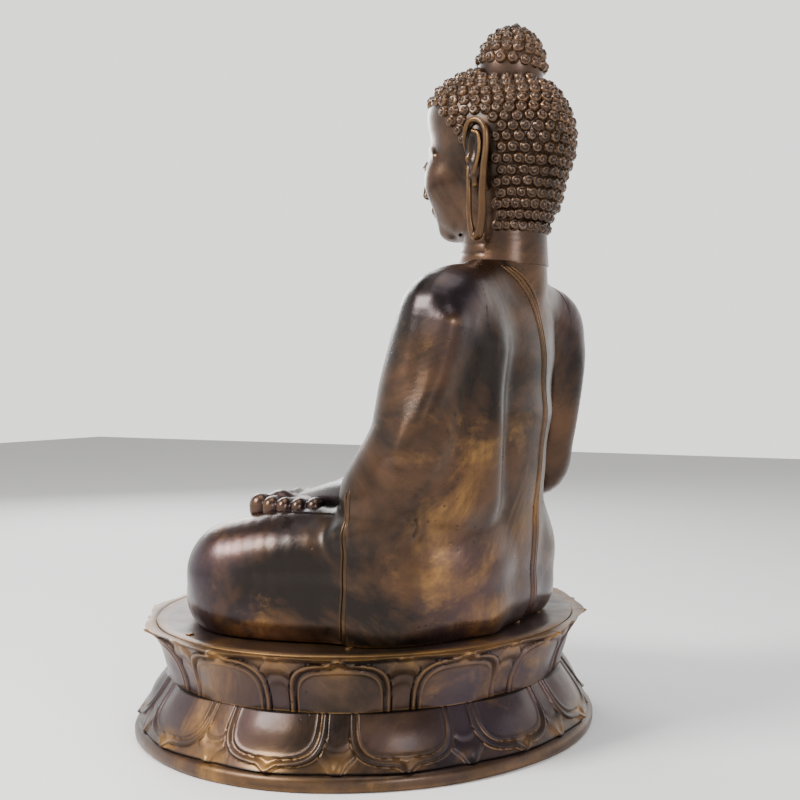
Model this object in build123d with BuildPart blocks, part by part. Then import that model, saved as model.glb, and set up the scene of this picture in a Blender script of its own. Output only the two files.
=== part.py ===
"""A seated bronze figure on a double lotus pedestal, one metre tall, cast in sections.

Millimetres, +Z up. The origin is the centre of the pedestal's underside. The figure looks
along -Y and its left side is +X. Every casting is a hollow shell about WALL thick.
"""

import os
from math import atan2, cos, degrees, hypot, pi, radians, sin

from build123d import *

# ---- driving dimensions -------------------------------------------------------------
TOTAL_HEIGHT = 1000.0
WALL = 7.0  # thickness of the body castings
THIN_WALL = 5.0  # thickness of the arms and the topknot

BASE_HALF_WIDTH = 366.0
BASE_HALF_DEPTH = 328.0
PLINTH_HEIGHT = 22.0
WAIST_HEIGHT = 86.0
DECK_TOP = 161.0
DECK_THICKNESS = 8.0
LOTUS_WALL = 8.0
PETAL_RELIEF = 7.0
PETAL_COUNT = 12

FIT_GAP = 0.3  # between castings whose curved seats meet
SEAT_GAP = 2.0  # the figure stands on tack tabs this far above the deck
FIGURE_BOTTOM = DECK_TOP + SEAT_GAP
LAP_TOP = 328.0
FOOT_TOP = 345.0
NECK_JOINT = 664.0
ARM_SEAT_X = 140.0
SHOULDER_Y = 205.0
SHOULDER_Z = 565.0
SPIGOT_RADIUS = 24.0
SPIGOT_LENGTH = 50.0
SPIGOT_WALL = 4.0

SIT = (Align.CENTER, Align.CENTER, Align.MIN)  # stands on its plane

os.makedirs("parts", exist_ok=True)


# ---- shared geometry ----------------------------------------------------------------
def ellipse_loft(sections, inset=0.0, mode=Mode.ADD):
    """Lofts level ellipses. Each section is (z, centre y, half width, half depth)."""
    levels = []
    for z, centre_y, half_width, half_depth in sections:
        with BuildSketch(Plane((0, centre_y, z))) as level:
            Ellipse(half_width - inset, half_depth - inset)
        levels.append(level.sketch)
    loft(levels, mode=mode)


def limb(stations, inset=0.0, mode=Mode.ADD):
    """Lofts circles square to a limb's centre line. Each station is (point, radius)."""
    points = [Vector(*point) for point, _ in stations]
    rounds = []
    for i, (point, radius) in enumerate(stations):
        ahead = points[min(i + 1, len(points) - 1)]
        behind = points[max(i - 1, 0)]
        along = (ahead - behind).normalized()
        across = Vector(1, 0, 0) - along * along.X
        with BuildSketch(Plane(Vector(*point), x_dir=across, z_dir=along)) as level:
            Circle(radius - inset)
        rounds.append(level.sketch)
    loft(rounds, ruled=True, mode=mode)


def around_ellipse(half_width, half_depth, count, turn=0.0):
    """Points evenly spaced along an ellipse with the outward angle at each, in degrees."""
    steps = 3600
    corners = [
        (half_width * cos(2 * pi * i / steps), half_depth * sin(2 * pi * i / steps))
        for i in range(steps + 1)
    ]
    lengths = [0.0]
    for p, q in zip(corners, corners[1:]):
        lengths.append(lengths[-1] + hypot(q[0] - p[0], q[1] - p[1]))
    found = []
    for k in range(count):
        target = ((k + turn) / count % 1.0) * lengths[-1]
        i = next(n for n, length in enumerate(lengths) if length >= target)
        x, y = corners[i]
        outward = Vector(x / half_width**2, y / half_depth**2, 0).normalized()
        found.append((Vector(x, y, 0), outward))
    return found


def save(piece, name):
    """Labels a finished piece and writes its STEP file."""
    piece.part.label = name
    export_step(piece.part, f"parts/{name}.step")


# ---- pedestal -----------------------------------------------------------------------
with BuildPart() as base_plinth:
    with BuildSketch(Plane.XY):
        Ellipse(BASE_HALF_WIDTH, BASE_HALF_DEPTH)
        Ellipse(BASE_HALF_WIDTH - 26, BASE_HALF_DEPTH - 26, mode=Mode.SUBTRACT)
    extrude(amount=PLINTH_HEIGHT)
    outer_edges = base_plinth.edges().filter_by_position(
        Axis.Z, PLINTH_HEIGHT - 1, PLINTH_HEIGHT + 1
    )
    fillet(outer_edges.sort_by(SortBy.LENGTH)[-1], radius=5)
save(base_plinth, "base_plinth")

# (z, centre y, half width, half depth), from the plinth's top to the waist and the rim
LOWER_LOTUS = [
    (PLINTH_HEIGHT, 0, BASE_HALF_WIDTH - 12, BASE_HALF_DEPTH - 12),
    (PLINTH_HEIGHT + 24, 0, BASE_HALF_WIDTH - 32, BASE_HALF_DEPTH - 32),
    (WAIST_HEIGHT - 12, 0, BASE_HALF_WIDTH - 62, BASE_HALF_DEPTH - 62),
    (WAIST_HEIGHT, 0, BASE_HALF_WIDTH - 68, BASE_HALF_DEPTH - 68),
]
UPPER_LOTUS = [
    (WAIST_HEIGHT, 0, BASE_HALF_WIDTH - 68, BASE_HALF_DEPTH - 68),
    (WAIST_HEIGHT + 26, 0, BASE_HALF_WIDTH - 46, BASE_HALF_DEPTH - 46),
    (DECK_TOP - 18, 0, BASE_HALF_WIDTH - 35, BASE_HALF_DEPTH - 35),
    (DECK_TOP, 0, BASE_HALF_WIDTH - 29, BASE_HALF_DEPTH - 29),
]


def petal_prisms(spots, height, bottom_z, pointed_up):
    """Upright prisms with a petal's outline, standing around the pedestal."""
    flip = 1 if pointed_up else -1
    with BuildPart() as prisms:
        for spot, outward, half in spots:
            middle = spot + Vector(0, 0, bottom_z + height / 2)
            across = Vector(-outward.Y, outward.X, 0)
            with BuildSketch(Plane(middle, x_dir=across, z_dir=outward)):
                with BuildLine():
                    Spline(
                        (0, -flip * height * 0.5),
                        (half * 0.62, -flip * height * 0.44),
                        (half, flip * height * 0.02),
                        (half * 0.66, flip * height * 0.36),
                        (0, flip * height * 0.5),
                        (-half * 0.66, flip * height * 0.36),
                        (-half, flip * height * 0.02),
                        (-half * 0.62, -flip * height * 0.44),
                        periodic=True,
                    )
                make_face()
        extrude(amount=90, both=True)
    return prisms.part


def lotus_ring(sections, prisms):
    """One lotus casting: a flared shell with its petals standing proud."""
    with BuildPart() as ring:
        ellipse_loft(sections, inset=-PETAL_RELIEF)
        add(prisms, mode=Mode.INTERSECT)
        ellipse_loft(sections)
        ellipse_loft(sections, inset=LOTUS_WALL, mode=Mode.SUBTRACT)
    return ring


def petal_spots(half_width, half_depth, main_half, small_half):
    """Broad petals, with a narrow one showing in each space between them."""
    main = around_ellipse(half_width, half_depth, PETAL_COUNT, 0.0)
    small = around_ellipse(half_width, half_depth, PETAL_COUNT, 0.5)
    return [(*s, main_half) for s in main] + [(*s, small_half) for s in small]


lower_petals = petal_prisms(
    petal_spots(BASE_HALF_WIDTH - 30, BASE_HALF_DEPTH - 30, 62, 22),
    WAIST_HEIGHT - PLINTH_HEIGHT - 4,
    PLINTH_HEIGHT + 2,
    pointed_up=False,
)
lower_lotus = lotus_ring(LOWER_LOTUS, lower_petals)
save(lower_lotus, "lower_lotus")

upper_petals = petal_prisms(
    petal_spots(BASE_HALF_WIDTH - 45, BASE_HALF_DEPTH - 45, 60, 20),
    DECK_TOP - WAIST_HEIGHT - 4,
    WAIST_HEIGHT + 2,
    pointed_up=True,
)
upper_lotus = lotus_ring(UPPER_LOTUS, upper_petals)
save(upper_lotus, "upper_lotus")

with BuildPart() as seat_deck:  # a plate that fills the upper lotus from wall to wall
    ellipse_loft(UPPER_LOTUS, inset=LOTUS_WALL)
    with BuildSketch(Plane.XY.offset(DECK_TOP - DECK_THICKNESS)):
        Rectangle(2 * BASE_HALF_WIDTH, 2 * BASE_HALF_DEPTH)
    extrude(amount=DECK_THICKNESS, mode=Mode.INTERSECT)
save(seat_deck, "seat_deck")

# ---- crossed legs, one hollow casting open underneath ---------------------------------
# (z, half width over the knees, front y, back y)
LAP_LEVELS = [
    (FIGURE_BOTTOM, 300, -226, 243),
    (205, 318, -246, 250),
    (245, 320, -248, 254),
    (285, 300, -228, 258),
    (312, 268, -190, 261),
    (LAP_TOP, 226, -150, 262),
]


def lap_outline(z, half_width, front, back, inset=0.0):
    """The closed outline of the crossed legs and hips at one height."""
    side, low, high = half_width - inset, front + inset, back - inset
    right = [
        (side * 0.38, low + 2),
        (side * 0.74, low * 0.86),
        (side * 0.97, low * 0.5),
        (side, low * 0.12),
        (side * 0.87, high * 0.5),
        (side * 0.6, high * 0.86),
        (side * 0.28, high * 0.99),
    ]
    left = [(-x, y) for x, y in reversed(right)]
    with BuildSketch(Plane.XY.offset(z)) as level:
        with BuildLine():
            Spline((0, low), *right, (0, high), *left, periodic=True)
        make_face()
    return level.sketch


with BuildPart() as lap_solid:
    loft([lap_outline(*level) for level in LAP_LEVELS])

with BuildPart() as crossed_legs:
    add(lap_solid.part)
    hollow_levels = [*LAP_LEVELS[:-1], (LAP_TOP - WALL, 236, -160, 261)]
    loft([lap_outline(*level, inset=WALL) for level in hollow_levels], mode=Mode.SUBTRACT)
save(crossed_legs, "crossed_legs")

# ---- torso ---------------------------------------------------------------------------
# (z, centre y, half width, half depth)
TORSO_LEVELS = [
    (LAP_TOP, 165, 168, 97),
    (380, 174, 146, 90),
    (450, 185, 142, 88),
    (520, 195, 152, 90),
    (575, 201, 162, 86),
    (615, 206, 142, 74),
    (645, 213, 86, 62),
    (NECK_JOINT, 216, 57, 55),
]
SEAT_HEIGHTS = (455.0, 650.0)  # the arm seats are flat from here to here


def side_blocks(inner_x):
    """The two regions outside the arm seats, beyond the given distance from the middle."""
    low, high = SEAT_HEIGHTS
    with Locations(*[(side * (inner_x + 50), 200, (low + high) / 2) for side in (-1, 1)]):
        Box(100, 300, high - low, mode=Mode.SUBTRACT)


with BuildPart() as torso_core:
    ellipse_loft(TORSO_LEVELS, inset=WALL)
    side_blocks(ARM_SEAT_X - WALL)

with BuildPart() as torso:
    ellipse_loft(TORSO_LEVELS)
    side_blocks(ARM_SEAT_X)
    add(torso_core.part, mode=Mode.SUBTRACT)
    with Locations((0, SHOULDER_Y, SHOULDER_Z)):
        Cylinder(SPIGOT_RADIUS, 320, rotation=(0, 90, 0), mode=Mode.SUBTRACT)
save(torso, "torso")

for side, name in ((-1, "right_shoulder_spigot"), (1, "left_shoulder_spigot")):
    with BuildPart() as shoulder_spigot:  # a tube welded through the torso into the arm
        with BuildSketch(Plane.YZ.offset(side * ARM_SEAT_X - SPIGOT_LENGTH / 2)):
            with Locations((SHOULDER_Y, SHOULDER_Z)):
                Circle(SPIGOT_RADIUS)
                Circle(SPIGOT_RADIUS - SPIGOT_WALL, mode=Mode.SUBTRACT)
        extrude(amount=SPIGOT_LENGTH)
    save(shoulder_spigot, name)

# ---- arms ----------------------------------------------------------------------------
RIGHT_ARM = [
    ((-124, 205, 606), 36),
    ((-161, 210, 583), 49),
    ((-180, 214, 545), 47),
    ((-194, 210, 480), 41),
    ((-207, 198, 422), 38),
    ((-213, 164, 384), 36),
    ((-214, 112, 366), 33),
    ((-216, 50, 360), 29),
    ((-222, -10, 356), 25),
    ((-231, -84, 352), 22),
]
LEFT_ARM = [
    ((124, 205, 606), 36),
    ((157, 205, 585), 50),
    ((176, 204, 545), 50),
    ((190, 196, 480), 46),
    ((200, 180, 420), 44),
    ((204, 150, 384), 42),
    ((196, 110, 376), 36),
    ((172, 50, 381), 27),
    ((140, -10, 375), 22),
]


def arm_casting(stations):
    """A hollow arm on the left side: flat seat at the shoulder, resting level on the lap."""
    with BuildPart() as arm:
        limb(stations)
        limb(stations, inset=THIN_WALL, mode=Mode.SUBTRACT)
        with Locations((ARM_SEAT_X - 100, 205, 600)):
            Box(200, 200, 400, mode=Mode.SUBTRACT)
        with Locations((200, 100, LAP_TOP + FIT_GAP - 50)):
            Box(240, 500, 100, mode=Mode.SUBTRACT)
    return arm


left_arm = arm_casting(LEFT_ARM)
save(left_arm, "left_arm")

right_arm_mirrored = arm_casting([((-x, y, z), radius) for (x, y, z), radius in RIGHT_ARM])
with BuildPart() as right_arm:
    mirror(right_arm_mirrored.part, about=Plane.YZ)
save(right_arm, "right_arm")

# ---- hands and foot ------------------------------------------------------------------


def finger(start, end, radius):
    """A round-ended finger or toe from one knuckle to the middle of its tip."""
    first, last = Vector(*start), Vector(*end)
    length = (last - first).length
    along = (last - first).normalized()
    aside = along.cross(Vector(0.3, 0.2, 0.9)).normalized()
    with BuildSketch(Plane(first, x_dir=along, z_dir=aside)) as half:
        with BuildLine():
            Polyline((length, radius), (0, radius), (0, 0), (length + radius, 0))
            ThreePointArc(
                (length, radius),
                (length + radius * sin(pi / 4), radius * cos(pi / 4)),
                (length + radius, 0),
            )
        make_face()
    revolve(half.sketch, axis=Axis(first, along))


with BuildPart() as right_foot:  # sole up on the left thigh, toes to the figure's left
    with BuildSketch(Plane((95, -12, LAP_TOP))):
        with BuildLine():
            Spline(
                (-108, 0),
                (-84, -30),
                (0, -34),
                (74, -46),
                (92, -20),
                (92, 30),
                (74, 44),
                (0, 34),
                (-84, 32),
                periodic=True,
            )
        make_face()
    extrude(amount=FOOT_TOP - LAP_TOP)
    fillet(right_foot.faces().sort_by(Axis.Z)[-1].edges(), radius=5)
    for toe in range(5):
        toe_y = -56 + 21 * toe
        finger((178, toe_y, LAP_TOP + 9), (208, toe_y, LAP_TOP + 9), 9 - 0.3 * toe)
save(right_foot, "right_foot")

with BuildPart() as left_hand:  # palm up in the lap, resting on the upturned foot
    wrist = Vector(140, -10, 375)
    forearm = Vector(-32, -60, -6).normalized()
    limb([(wrist + forearm * FIT_GAP, 20), (wrist + forearm * 20, 19), ((100, -58, 361), 14)])
    with BuildSketch(Plane((62, -64, FOOT_TOP), x_dir=(-0.88, -0.47, 0))):
        RectangleRounded(92, 78, 18)
    extrude(amount=18)
    for knuckle in range(4):
        aside = 28 - 19 * knuckle
        root = Vector(28 - 0.47 * aside, -80 + 0.88 * aside, FOOT_TOP + 9)
        finger(root, root + Vector(-76, -32, 0), 8.9)
    finger((78, -92, FOOT_TOP + 16), (22, -112, FOOT_TOP + 18), 9.5)
save(left_hand, "left_hand")

with BuildPart() as right_hand:  # laid over the knee, fingers down towards the pedestal
    limb(
        [
            ((-231, -84 - FIT_GAP, 352), 22),
            ((-234.4, -120, 352), 24),
            ((-238, -170, 342), 28),
            ((-242, -214, 314), 31),
            ((-244, -238, 282), 30),
        ]
    )
    for knuckle in range(4):
        finger_x = -267.5 + 17 * knuckle
        finger((finger_x, -244, 284), (finger_x + 2, -250, 190 - 4 * (knuckle in (1, 2))), 8)
    finger((-216, -205, 310), (-196, -234, 266), 9.4)
    add(lap_solid.part, mode=Mode.SUBTRACT)
save(right_hand, "right_hand")

# ---- head ----------------------------------------------------------------------------
HEAD_CENTRE_Y = 219.0
HEAD_CENTRE_Z = 835.0
HEAD_HALF_WIDTH = 83.5
HEAD_HALF_DEPTH = 98.0
HEAD_RISE = 99.0  # from the widest level to the crown, without the curls
NECK_LEVELS = [(NECK_JOINT, 216, 57, 55), (690, 214, 53, 54), (725, 213, 52, 56)]
JAW_LEVELS = [(701, 190, 36, 44), (709, 200, 50, 66), (730, 207, 63, 82), (770, 214, 77, 92)]


def crown_level(angle):
    """The head's level ellipse at an angle above its widest level."""
    spread = cos(radians(angle))
    z = HEAD_CENTRE_Z + HEAD_RISE * sin(radians(angle))
    return (z, HEAD_CENTRE_Y, HEAD_HALF_WIDTH * spread, HEAD_HALF_DEPTH * spread)


SKULL_LEVELS = JAW_LEVELS + [crown_level(angle) for angle in (0, 20, 38, 54, 68, 80)]

with BuildPart() as skull:
    ellipse_loft(SKULL_LEVELS)

with BuildPart() as head:
    ellipse_loft(NECK_LEVELS)
    add(skull.part)
    ellipse_loft(SKULL_LEVELS[2:-1], inset=WALL, mode=Mode.SUBTRACT)
    ellipse_loft([*NECK_LEVELS[:2], (736, 213, 52, 56)], inset=WALL, mode=Mode.SUBTRACT)
save(head, "head")

with BuildPart() as neck_sleeve:  # welded into the neck, drops into the torso
    sleeve_levels = [(640, 216, 55, 53), *NECK_LEVELS[:2]]
    ellipse_loft(sleeve_levels, inset=WALL + 2)
    ellipse_loft(sleeve_levels, inset=WALL + 6, mode=Mode.SUBTRACT)
save(neck_sleeve, "neck_sleeve")

EAR_TOP = 853.0
EAR_INNER_X = 90.0
EAR_OUTER_X = 103.0

with BuildPart() as left_ear:  # long, with a slot through the lobe
    with BuildSketch(Plane.YZ.offset(EAR_INNER_X)):
        with BuildLine():
            Spline(
                (216, EAR_TOP),
                (201, EAR_TOP - 16),
                (203, EAR_TOP - 60),
                (207, EAR_TOP - 110),
                (204, EAR_TOP - 150),
                (213, EAR_TOP - 166),
                (222, EAR_TOP - 150),
                (224, EAR_TOP - 100),
                (233, EAR_TOP - 40),
                (231, EAR_TOP - 12),
                periodic=True,
            )
        make_face()
        with Locations((213, EAR_TOP - 132)):
            SlotOverall(42, 7, rotation=90, mode=Mode.SUBTRACT)
    extrude(amount=EAR_OUTER_X - EAR_INNER_X)
    with BuildSketch(Plane.YZ.offset(EAR_INNER_X)):  # the root that joins the head
        with Locations((216, EAR_TOP - 50)):
            SlotOverall(80, 20, rotation=90)
    extrude(amount=-20)
    add(skull.part, mode=Mode.SUBTRACT)
save(left_ear, "left_ear")

with BuildPart() as right_ear:
    mirror(left_ear.part, about=Plane.YZ)
save(right_ear, "right_ear")

# ---- topknot -------------------------------------------------------------------------
TOPKNOT_RADIUS = 46.0
TOPKNOT_TILT = 15.0
TOPKNOT_Z = 934.0
topknot_axis = Vector(0, sin(radians(TOPKNOT_TILT)), cos(radians(TOPKNOT_TILT)))
topknot_plane = Plane((0, 234, TOPKNOT_Z), x_dir=(1, 0, 0), z_dir=topknot_axis)


def dome(radius, skirt):
    """A half ball on the topknot's plane, with a straight skirt below it."""
    with BuildSketch(topknot_plane) as foot:
        Circle(radius)
    extrude(foot.sketch, amount=-skirt)
    with Locations(topknot_plane):
        Sphere(radius, arc_size1=0, align=SIT)


with BuildPart() as topknot_core:
    dome(TOPKNOT_RADIUS - THIN_WALL, 40)

with BuildPart() as topknot:
    dome(TOPKNOT_RADIUS, 24)
    add(topknot_core.part, mode=Mode.SUBTRACT)
    add(skull.part, mode=Mode.SUBTRACT)
save(topknot, "topknot")

JEWEL_RADIUS = 9.0
JEWEL_NECK = 3.0
JEWEL_SWELL = 8.0
tip_rise = (TOTAL_HEIGHT - TOPKNOT_Z) / cos(radians(TOPKNOT_TILT)) - 0.2
with BuildPart() as topknot_finial:  # a small pointed jewel with a neck below it
    with Locations(topknot_plane.offset(TOPKNOT_RADIUS - 0.5)):
        Cylinder(JEWEL_RADIUS - 3, JEWEL_NECK + 1, align=SIT)
    with Locations(topknot_plane.offset(TOPKNOT_RADIUS + JEWEL_NECK)):
        Cone(JEWEL_RADIUS - 3, JEWEL_RADIUS, JEWEL_SWELL - JEWEL_NECK, align=SIT)
    with Locations(topknot_plane.offset(TOPKNOT_RADIUS + JEWEL_SWELL)):
        Cone(JEWEL_RADIUS, 0.8, tip_rise - TOPKNOT_RADIUS - JEWEL_SWELL, align=SIT)
    add(topknot.part, mode=Mode.SUBTRACT)
save(topknot_finial, "topknot_finial")

# ---- hair curls ----------------------------------------------------------------------
CURL_RADIUS = 7.2
CURL_PITCH = 16.4
CURL_LIFT = 0.3  # keeps the flat of a curl clear of the rounded scalp
ROW_ANGLE = 8.6
ROW_STEP = 15
NAPE = 714.0


def ring_count(half_width, half_depth):
    """How many curls fit around a level ellipse."""
    return max(1, round(2 * pi * hypot(half_width, half_depth) / 2**0.5 / CURL_PITCH))


def level_at(z):
    """The skull's centre and half axes at a height between two of its levels."""
    for lower, upper in zip(SKULL_LEVELS, SKULL_LEVELS[1:]):
        if lower[0] <= z <= upper[0]:
            share = (z - lower[0]) / (upper[0] - lower[0])
            return tuple(p + share * (q - p) for p, q in zip(lower, upper))
    raise ValueError(z)


def hair_grows(spot):
    """Hair stays above the brow and the ears, and behind them goes down to the nape."""
    turn = degrees(atan2(abs(spot.X), HEAD_CENTRE_Y - spot.Y))
    if spot.Z > 905 and hypot(spot.X, spot.Y - 238) < TOPKNOT_RADIUS + CURL_RADIUS + 4:
        return False
    if turn > 108:
        return spot.Z > NAPE
    if turn > 78:
        return spot.Z > EAR_TOP + CURL_RADIUS + 2
    return spot.Z > 884 - 0.006 * turn**2


def scalp_spots():
    """Rows of spots over the whole head, with the outward direction at each."""
    rows = [level_at(z) for z in range(int(NAPE), int(HEAD_CENTRE_Z) - 8, ROW_STEP)]
    rows += [crown_level(ROW_ANGLE * row) for row in range(9)]
    spots = []
    for row, (z, centre_y, half_width, half_depth) in enumerate(rows):
        rise = max(0.0, z - HEAD_CENTRE_Z) / HEAD_RISE**2
        count = ring_count(half_width, half_depth)
        for spot, _ in around_ellipse(half_width, half_depth, count, 0.5 * (row % 2)):
            outward = Vector(spot.X / HEAD_HALF_WIDTH**2, spot.Y / HEAD_HALF_DEPTH**2, rise)
            spots.append((spot + Vector(0, centre_y, z), outward.normalized()))
    return [spot for spot in spots if hair_grows(spot[0])]


def topknot_spots():
    """Rows of spots over the topknot's dome, up to the jewel."""
    spots = []
    for row, angle in enumerate((0, 22, 44, 65)):
        ring = TOPKNOT_RADIUS * cos(radians(angle))
        rise = TOPKNOT_RADIUS * sin(radians(angle))
        for spot, _ in around_ellipse(ring, ring, ring_count(ring, ring), 0.5 * (row % 2)):
            place = topknot_plane.from_local_coords(spot + Vector(0, 0, rise))
            spots.append((place, (place - topknot_plane.origin).normalized()))
    return spots


def curls(spots, casting):
    """One small dome on each spot of a casting, a group of separate solids."""
    with BuildPart() as group:
        planes = [Plane(spot + outward * CURL_LIFT, z_dir=outward) for spot, outward in spots]
        with Locations(*planes):
            Sphere(CURL_RADIUS, arc_size1=0, align=SIT)
        add(casting.part, mode=Mode.SUBTRACT)
    return group


save(curls(scalp_spots(), skull), "head_curls")
save(curls(topknot_spots(), skull), "topknot_curls")

# ---- robe borders that stand proud of the torso ---------------------------------------
BORDER_RELIEF = 5.0


def robe_border(outline, facing):
    """A patch of the robe, as thick as its relief, over an outline seen from one side."""
    with BuildPart() as border:
        ellipse_loft(TORSO_LEVELS, inset=-BORDER_RELIEF)
        with BuildSketch(Plane.XZ.offset(-HEAD_CENTRE_Y)) as shape:
            with BuildLine():
                Spline(*outline, periodic=True)
            make_face()
        extrude(shape.sketch, amount=200 * facing, mode=Mode.INTERSECT)
        ellipse_loft(TORSO_LEVELS, mode=Mode.SUBTRACT)
    return border


shoulder_fold = robe_border(
    [(62, 642), (104, 628), (120, 560), (116, 470), (92, 462), (84, 540), (62, 600)], 1
)
save(shoulder_fold, "robe_shoulder_fold")
chest_edge = robe_border(
    [(42, 596), (54, 584), (14, 492), (-60, 424), (-122, 398), (-122, 414), (-64, 448), (0, 512)],
    1,
)
save(chest_edge, "robe_chest_edge")
back_edge = robe_border(
    [(30, 652), (20, 656), (-16, 610), (-34, 520), (-31, 400), (-24, 336), (-8, 336), (-14, 500)],
    -1,
)
save(back_edge, "robe_back_edge")

# ---- joint rings, wrist spigots and weld tabs ------------------------------------------
RING_WALL = 5.0

with BuildPart() as pedestal_joint_ring:  # inside, across the waist seam
    with BuildSketch(Plane.XY.offset(WAIST_HEIGHT - 10)):
        waist_width = UPPER_LOTUS[0][2] - LOTUS_WALL
        waist_depth = UPPER_LOTUS[0][3] - LOTUS_WALL
        Ellipse(waist_width, waist_depth)
        Ellipse(waist_width - RING_WALL, waist_depth - RING_WALL, mode=Mode.SUBTRACT)
    extrude(amount=20)
save(pedestal_joint_ring, "pedestal_joint_ring")

with BuildPart() as torso_joint_ring:  # on the lap's top, inside the torso's foot
    with BuildSketch(Plane((0, TORSO_LEVELS[0][1], LAP_TOP))):
        foot_width = TORSO_LEVELS[1][2] - WALL
        foot_depth = TORSO_LEVELS[1][3] - WALL - 9
        Ellipse(foot_width, foot_depth)
        Ellipse(foot_width - RING_WALL, foot_depth - RING_WALL, mode=Mode.SUBTRACT)
    extrude(amount=16)
save(torso_joint_ring, "torso_joint_ring")

for name, stations in (("right_wrist_spigot", RIGHT_ARM), ("left_wrist_spigot", LEFT_ARM)):
    (inner, _), (end, end_radius) = stations[-2:]
    inward = (Vector(*inner) - Vector(*end)).normalized()
    with BuildPart() as wrist_spigot:  # a plug between the forearm and the solid hand
        with BuildSketch(Plane(Vector(*end), z_dir=inward)):
            Circle(end_radius - THIN_WALL)
        extrude(amount=20)
    save(wrist_spigot, name)

with BuildPart() as seat_weld_tabs:  # tack tabs in the gap between the deck and the figure
    tab_spots = [(0, -226), (0, 243)]
    for share_x, share_y in ((0.38, -1.0), (0.97, -0.5), (0.87, 0.5), (0.28, 0.99)):
        depth = 226 if share_y < 0 else 243
        tab_spots += [(side * 300 * share_x, depth * share_y) for side in (-1, 1)]
    for x, y in tab_spots:
        with Locations((x * 0.985, y * 0.985, DECK_TOP)):
            Box(10, 6, SEAT_GAP, align=SIT)
save(seat_weld_tabs, "seat_weld_tabs")
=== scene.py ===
"""The looks of a seated bronze figure on a double lotus pedestal.

The body, head, ears, topknot, hands and foot are sculpted as distance fields and meshed.
The pedestal, hems, curls and jewel are built directly. Sizes are in millimetres until
finish_mesh turns them into metres.
"""

from math import cos, degrees, hypot, pi, radians, sin

import bmesh
import bpy
import numpy as np
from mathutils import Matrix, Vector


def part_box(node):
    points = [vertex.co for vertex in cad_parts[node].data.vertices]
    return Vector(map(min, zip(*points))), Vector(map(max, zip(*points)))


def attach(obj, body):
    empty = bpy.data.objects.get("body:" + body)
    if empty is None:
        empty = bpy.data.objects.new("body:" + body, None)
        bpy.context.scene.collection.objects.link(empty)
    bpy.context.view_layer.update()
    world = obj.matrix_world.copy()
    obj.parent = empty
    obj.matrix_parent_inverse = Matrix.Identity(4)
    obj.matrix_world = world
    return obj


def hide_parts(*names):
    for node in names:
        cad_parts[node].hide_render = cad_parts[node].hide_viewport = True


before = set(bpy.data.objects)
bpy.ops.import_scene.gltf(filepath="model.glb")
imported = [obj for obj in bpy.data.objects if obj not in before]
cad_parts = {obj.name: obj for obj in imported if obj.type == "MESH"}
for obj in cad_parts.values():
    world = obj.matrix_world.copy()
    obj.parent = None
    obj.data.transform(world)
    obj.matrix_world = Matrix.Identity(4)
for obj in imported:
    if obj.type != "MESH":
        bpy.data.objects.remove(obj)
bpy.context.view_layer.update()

import openvdb
from mathutils import Matrix, Vector
from mathutils.bvhtree import BVHTree

MM = 0.001
FINE = 1.0  # voxels grow while trying things


def box_mm(node):
    """A CAD node's lowest and highest corners, in millimetres."""
    low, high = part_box(node)
    return np.array(low) / MM, np.array(high) / MM


DECK_TOP = box_mm("seat_deck")[1][2]
FIGURE_BOTTOM = box_mm("crossed_legs")[0][2]
LAP_TOP = box_mm("crossed_legs")[1][2]
NECK_JOINT = box_mm("torso")[1][2]
WAIST_Z = box_mm("lower_lotus")[1][2]
PLINTH_LOW, PLINTH_HIGH = box_mm("base_plinth")


# ---- clay: sculpting with distance fields ---------------------------------------------
FAR = 60.0
SPIGOT_INSET = 1.6  # how far inside the surface a spigot runs


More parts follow.
